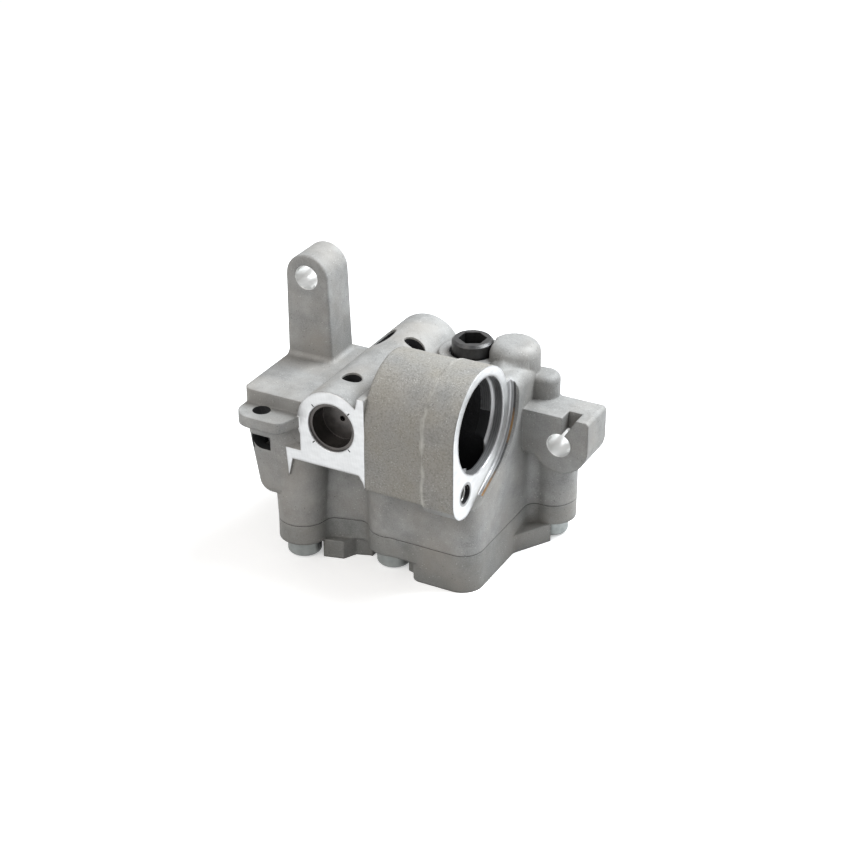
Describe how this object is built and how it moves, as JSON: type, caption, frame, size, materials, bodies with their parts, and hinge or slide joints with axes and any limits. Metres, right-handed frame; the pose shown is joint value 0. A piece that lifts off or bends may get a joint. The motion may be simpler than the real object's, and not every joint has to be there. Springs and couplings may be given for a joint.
{
  "type": "engine oil pump",
  "caption": "Cast engine oil pump with lobed rotors on a hexagon-driven shaft, a suction flange, a pressure control valve, a safety valve and mounting lugs.",
  "frame": {"origin": "foot of the drive axis on the flat outer face of the cover", "axes": "+Z along the drive axis towards the hexagon socket, +X out of the suction flange, -Y out of the milled control valve face"},
  "size_m": [0.1112, 0.1028, 0.1055],
  "materials": {
    "cast_housing": "as cast, matt, with milled faces",
    "cast_cover": "as cast, matt",
    "dark_steel": "hardened, dark",
    "sintered_steel": "sintered, ground ends",
    "ground_steel": "ground",
    "bush_bronze": "plain bearing",
    "spring_steel": "spring wire",
    "cap_steel": "pressed, dark",
    "ball_steel": "polished",
    "seal_rubber": "matt",
    "zinc_steel": "zinc plated"
  },
  "bodies": {
    "casing": {"pump_housing": "cast_housing", "pump_cover": "cast_cover", "upper_bush": "bush_bronze", "lower_bush": "bush_bronze", "control_valve_cap": "cap_steel", "control_spring": "spring_steel", "safety_valve_seat": "ground_steel", "safety_valve_plug": "cap_steel", "safety_valve_spring": "spring_steel", "gallery_plug": "cap_steel", "outlet_seal": "seal_rubber", "front_dowel": "ground_steel", "rear_dowel": "ground_steel", "cover_screw_1": "zinc_steel", "cover_screw_2": "zinc_steel", "cover_screw_3": "zinc_steel", "cover_screw_4": "zinc_steel", "cover_screw_5": "zinc_steel", "cover_screw_6": "zinc_steel"},
    "drive": {"drive_shaft": "dark_steel", "drive_pin": "ground_steel", "inner_rotor": "sintered_steel"},
    "rotor_ring": {"outer_rotor": "sintered_steel"},
    "control_slide": {"control_piston": "ground_steel"},
    "relief_ball": {"safety_valve_ball": "ball_steel"}
  },
  "joints": [
    {"name": "drive_spin", "type": "hinge", "parent": "casing", "child": "drive", "pos_m": [0, 0, 0.03003], "axis": [0, 0, 1], "continuous": true},
    {"name": "ring_spin", "type": "hinge", "parent": "casing", "child": "rotor_ring", "pos_m": [-0.002, 0, 0.03003], "axis": [0, 0, 1], "continuous": true},
    {"name": "control_travel", "type": "slide", "parent": "casing", "child": "control_slide", "axis": [0, -1, 0], "range_m": [0, 0.008], "stiffness_N_per_m": 3000, "springref_m": -0.003, "deforming": ["control_spring"]},
    {"name": "relief_travel", "type": "slide", "parent": "casing", "child": "relief_ball", "axis": [0, -1, 0], "range_m": [0, 0.003], "stiffness_N_per_m": 5000, "springref_m": -0.002, "deforming": ["safety_valve_spring"]}
  ],
  "couplings": [
    {"joint": "ring_spin", "follows": "drive_spin", "ratio": 0.85714}
  ]
}
